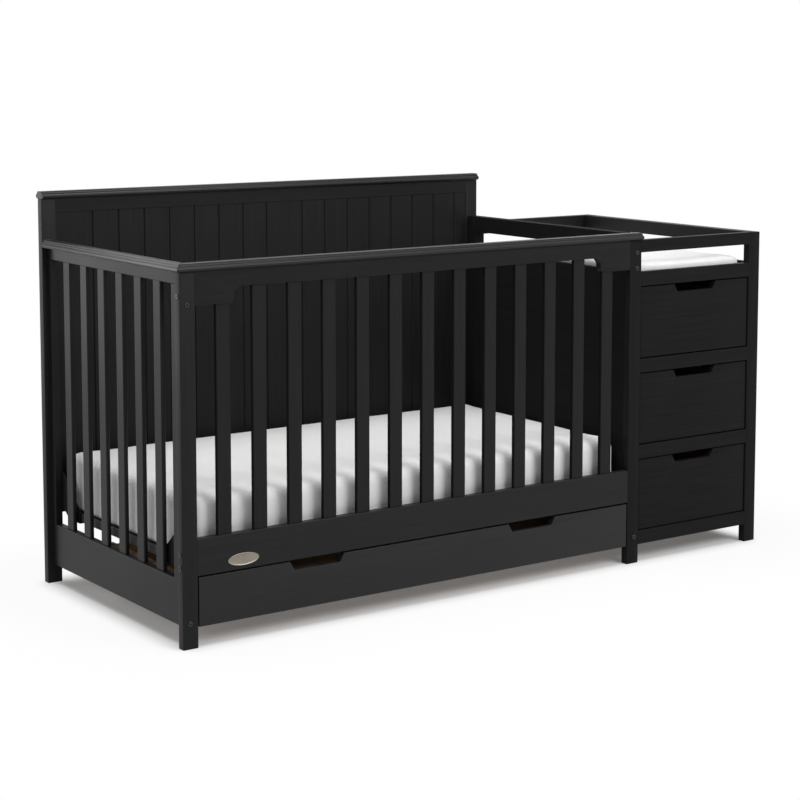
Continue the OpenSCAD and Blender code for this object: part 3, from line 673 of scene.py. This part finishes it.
def smoothed(piece):
    """One subdivision, applied."""
    sub = piece.modifiers.new("Subdivision", "SUBSURF")
    sub.levels = sub.render_levels = 1
    made = bpy.data.meshes.new_from_object(piece.evaluated_get(bpy.context.evaluated_depsgraph_get()))
    piece.modifiers.remove(sub)
    piece.data = made


def sewn(piece, level, width, depth):
    """A seam round the sides: points near its level go inwards by up to depth, times
    exp(-((height - level) / width) squared)."""
    co, normal = of_each_point(piece.data, "co"), of_each_point(piece.data, "normal")
    side = 1 - np.abs(normal[:, 2])
    bell = np.exp(-(((co[:, 2] - level) / width) ** 2)) * np.clip(side * 1.5, 0, 1)
    sideways = normal * (1, 1, 0.2)
    move_points(piece.data, co - sideways * (bell * depth)[:, None])


def crowned(x, y):
    """The mattress's top is 3 mm higher over most of its middle, and falls off near its edges."""
    return 3 * MM * (1 - x**4) * (1 - y**4)


def dished(x, y):
    """The pad's top is 6 mm lower along its middle, and comes up level at its two ends."""
    return -6 * MM * np.cos(x * math.pi / 2) ** 2 * (1 - y**8)


lo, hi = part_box("mattress")
start_lo, start_hi = lo + Vector((3, 3, 0)) * MM, hi + Vector((1, -3, -4)) * MM
mattress = foam_block("mattress_foam", start_lo, start_hi, corner_r=28 * MM, top_r=24 * MM, low_r=6 * MM,
                      cell=11 * MM, top=crowned, material=finish["mattress"])
blown_up(mattress, pressure=4.0, pinned_below=lo.z + 4 * MM, furthest=6 * MM)
smoothed(mattress)
stands_for(mattress, "mattress")

lo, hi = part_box("changing_pad")
start_lo, start_hi = lo + Vector((2, 2, 0)) * MM, hi - Vector((2, 2, 4)) * MM
pad = foam_block("changing_pad_foam", start_lo, start_hi, corner_r=28 * MM, top_r=13 * MM, low_r=6 * MM,
                 cell=6 * MM, top=dished, material=finish["pad"])
blown_up(pad, pressure=3.0, pinned_below=lo.z + 3 * MM, furthest=4 * MM)
smoothed(pad)
sewn(pad, level=lo.z + 11 * MM, width=1.6 * MM, depth=1.1 * MM)
stands_for(pad, "changing_pad")

# ---------- stage ----------


def seen_rays(tree):
    """1 for a ray from the camera, off a glossy surface or through a clear one, else 0."""
    path = tree.nodes.new("ShaderNodeLightPath")
    seen = path.outputs["Is Camera Ray"]
    for kind in ("Is Glossy Ray", "Is Transmission Ray"):
        most = tree.nodes.new("ShaderNodeMath")
        most.operation = "MAXIMUM"
        tree.links.new(seen, most.inputs[0])
        tree.links.new(path.outputs[kind], most.inputs[1])
        seen = most.outputs[0]
    return seen


FLOOR_HALF, FLOOR_TONE, FLOOR_MARGIN = 14.0, 0.9, 0.05
FLOOR_WHITES = (0.0, 0.12), (0.09, 0.9), (0.6, 1.0)


def floor():
    """A pale floor. The camera and reflections see it lit, with the object's shadow, mixed with plain
    white. The share of white goes up with the distance from a rectangle, which lies FLOOR_MARGIN inside
    the object's own, as FLOOR_WHITES gives it in (metres, share)."""
    sides = [(-1, -1), (1, -1), (1, 1), (-1, 1)]
    piece = new_piece("floor", [(x * FLOOR_HALF, y * FLOOR_HALF, 0) for x, y in sides], [range(4)],
                      bpy.data.materials.new("floor_white"))
    made = piece.data.materials[0]
    made.use_nodes = True
    tree = made.node_tree
    tree.nodes.clear()
    add = tree.nodes.new
    out, mix = add("ShaderNodeOutputMaterial"), add("ShaderNodeMixShader")
    lit, plain = add("ShaderNodeBsdfDiffuse"), add("ShaderNodeEmission")
    lit.inputs["Color"].default_value = (*grey(FLOOR_TONE), 1)
    place, fade = add("ShaderNodeTexCoord"), add("ShaderNodeValToRGB")
    steps = [add("ShaderNodeVectorMath") for _ in range(4)]
    for step, operation in zip(steps, ("ABSOLUTE", "SUBTRACT", "MAXIMUM", "LENGTH")):
        step.operation = operation
    low, high = (Vector(p) for p in cad_box)
    halves = (high - low) / 2
    steps[1].inputs[1].default_value = (halves.x - FLOOR_MARGIN, halves.y - FLOOR_MARGIN, 0)
    steps[2].inputs[1].default_value = (0, 0, 0)
    both = add("ShaderNodeMath")
    both.operation = "MULTIPLY"
    fade.color_ramp.interpolation = "EASE"
    set_stops(fade, [(at, grey(share)) for at, share in FLOOR_WHITES])
    links = [(place.outputs["Object"], steps[0].inputs[0])]
    links += [(a.outputs[0], b.inputs[0]) for a, b in zip(steps, steps[1:])]
    links += [(steps[3].outputs["Value"], fade.inputs["Fac"]), (fade.outputs[0], both.inputs[0]),
              (seen_rays(tree), both.inputs[1]), (both.outputs[0], mix.inputs[0]),
              (lit.outputs[0], mix.inputs[1]), (plain.outputs[0], mix.inputs[2]),
              (mix.outputs[0], out.inputs[0])]
    for a, b in links:
        tree.links.new(a, b)


def softbox(name, at, towards, wide, high, watts):
    """A rectangular lamp that faces a point."""
    data = bpy.data.lights.new(name, "AREA")
    data.shape, data.size, data.size_y, data.energy = "RECTANGLE", wide, high, watts
    lamp = in_scene(name, data)
    lamp.location = at
    lamp.rotation_euler = (Vector(towards) - Vector(at)).to_track_quat("-Z", "Y").to_euler()


def sky(strength):
    """An even world: white where the camera, a reflection or a clear part sees it, dimmer as a light."""
    world = bpy.data.worlds.new("studio")
    bpy.context.scene.world = world
    world.use_nodes = True
    tree = world.node_tree
    back, level = tree.nodes["Background"], tree.nodes.new("ShaderNodeMapRange")
    back.inputs["Color"].default_value = (1, 1, 1, 1)
    level.inputs["To Min"].default_value, level.inputs["To Max"].default_value = strength, 1.0
    tree.links.new(seen_rays(tree), level.inputs["Value"])
    tree.links.new(level.outputs[0], back.inputs["Strength"])


photo_camera()
floor()
sky(strength=0.14)
softbox("top_box", (-0.6, -0.1, 4.2), (0, 0, 0.4), wide=3.4, high=3.0, watts=133)
softbox("back_left_box", (-2.9, 3.4, 0.95), (-0.7, -0.1, 0.45), wide=2.4, high=1.8, watts=22)
softbox("left_box", (-3.4, -1.3, 1.4), (-0.9, 0, 0.35), wide=1.6, high=1.4, watts=18)
softbox("front_box", (1.1, -3.6, 2.8), (0, 0, 0.3), wide=2.3, high=1.7, watts=98)
bpy.context.scene.view_settings.view_transform = "Standard"
